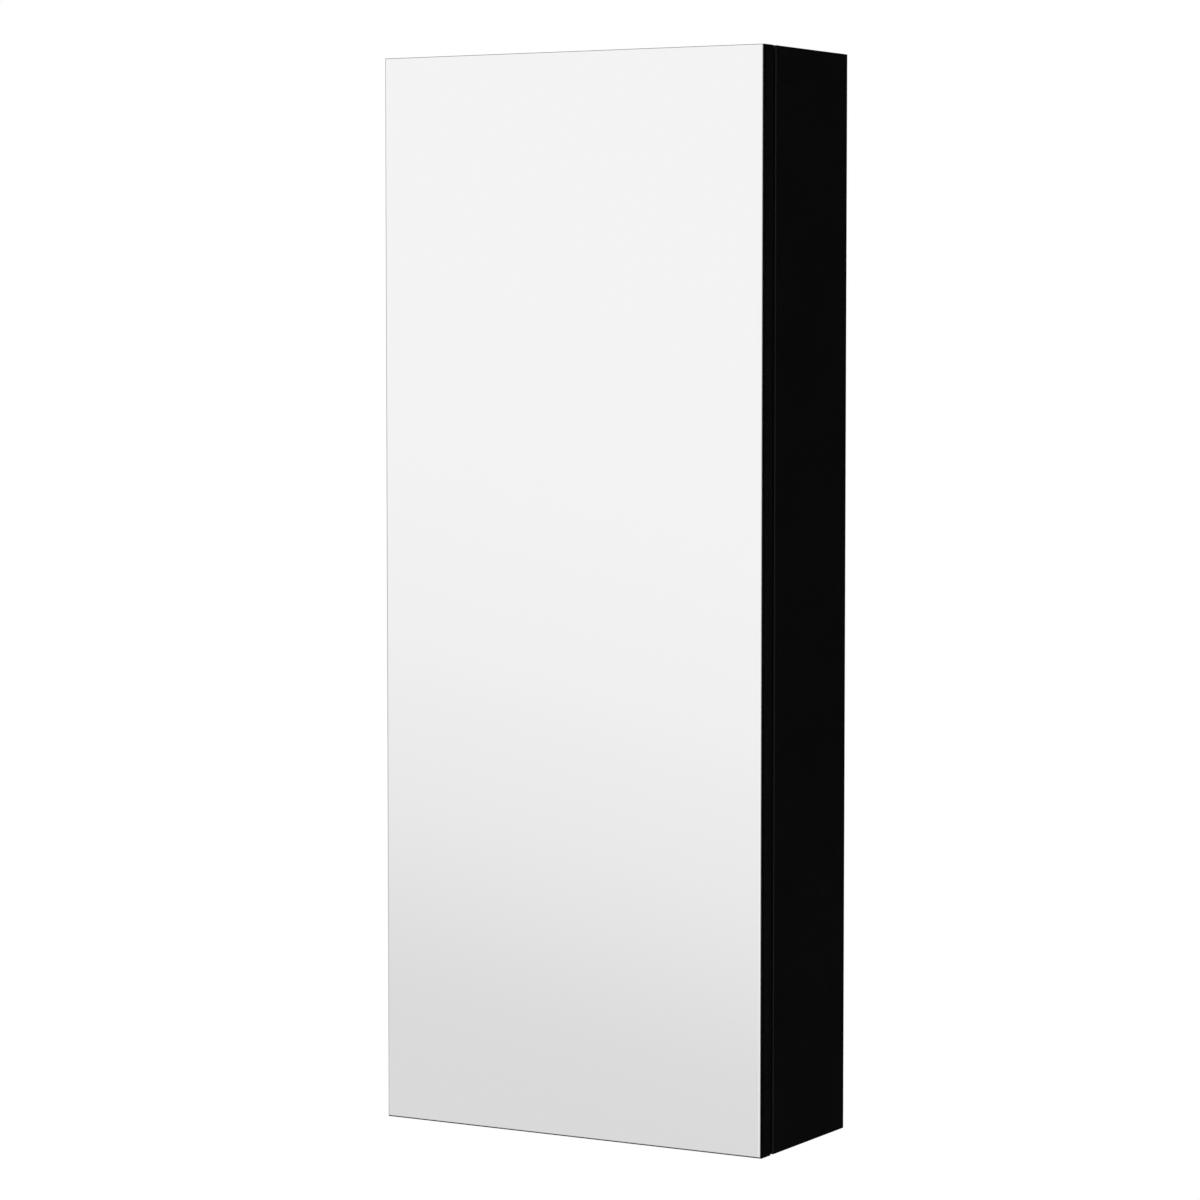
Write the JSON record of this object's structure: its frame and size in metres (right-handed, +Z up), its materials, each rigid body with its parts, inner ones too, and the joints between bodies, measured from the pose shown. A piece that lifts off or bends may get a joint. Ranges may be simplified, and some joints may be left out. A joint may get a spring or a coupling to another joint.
{
  "type": "shaving cabinet",
  "caption": "Tall narrow wall cabinet with a full-height frameless mirror door on concealed cup hinges and glass shelves on pins.",
  "frame": {"origin": "middle of the wall plane, at the centre of the wall screw pattern, mid-height and mid-width", "axes": "+X to the right seen from the front, +Y into the wall, +Z up; the mirror faces -Y"},
  "size_m": [0.3, 0.125, 0.75],
  "materials": {
    "board_black": "matt black melamine-faced board",
    "back_board_black": "thin black faced fibreboard",
    "band_black": "matt black edge band",
    "beech": "plain fluted beech",
    "zinc": "nickel-plated zinc",
    "steel_bright": "bright nickel-plated steel",
    "hinge_steel": "nickel-plated pressed steel",
    "cap_black": "moulded black plastic",
    "clear_silicone": "clear soft silicone",
    "shelf_glass": "clear float glass, ground edges",
    "magnet": "dark ferrite",
    "mirror": "silvered float glass with a polished rounded edge",
    "adhesive": "mirror adhesive tape"
  },
  "bodies": {
    "cabinet": {"arm_adjusting_screws": "steel_bright", "arm_fixing_screws": "steel_bright", "back_panel": "back_board_black", "bottom_panel": "board_black", "cam_bolts": "steel_bright", "cam_caps": "cap_black", "cam_locks": "zinc", "case_front_bands": "band_black", "catch_housing": "cap_black", "catch_magnet": "magnet", "catch_pole_plates": "hinge_steel", "catch_screws": "steel_bright", "corner_dowels": "beech", "left_side_panel": "board_black", "lower_hanging_rail": "board_black", "lower_hinge_arm": "hinge_steel", "lower_mounting_plate": "hinge_steel", "plate_screws": "steel_bright", "rail_dowels": "beech", "right_side_panel": "board_black", "shelf_pads": "clear_silicone", "shelf_pins": "steel_bright", "side_end_bands": "band_black", "top_panel": "board_black", "upper_hanging_rail": "board_black", "upper_hinge_arm": "hinge_steel", "upper_mounting_plate": "hinge_steel"},
    "door": {"door_board": "board_black", "door_side_bands": "band_black", "door_end_bands": "band_black", "mirror_glass": "mirror", "mirror_adhesive": "adhesive", "lower_hinge_cup": "zinc", "upper_hinge_cup": "zinc", "cup_screws": "steel_bright", "pivot_pins": "steel_bright", "strike_plate": "hinge_steel", "strike_screw": "steel_bright", "door_bumpers": "clear_silicone"},
    "shelf_low": {"lower_shelf": "shelf_glass"},
    "shelf_mid": {"middle_shelf": "shelf_glass"},
    "shelf_high": {"upper_shelf": "shelf_glass"}
  },
  "joints": [
    {"name": "door_swing", "type": "hinge", "parent": "cabinet", "child": "door", "pos_m": [-0.1425, -0.1171, 0], "axis": [0, 0, -1], "range_deg": [0, 100]},
    {"name": "shelf_low_lift", "type": "slide", "parent": "cabinet", "child": "shelf_low", "axis": [0, 0, 1], "range_m": [0, 0.03]},
    {"name": "shelf_mid_lift", "type": "slide", "parent": "cabinet", "child": "shelf_mid", "axis": [0, 0, 1], "range_m": [0, 0.03]},
    {"name": "shelf_high_lift", "type": "slide", "parent": "cabinet", "child": "shelf_high", "axis": [0, 0, 1], "range_m": [0, 0.03]}
  ]
}
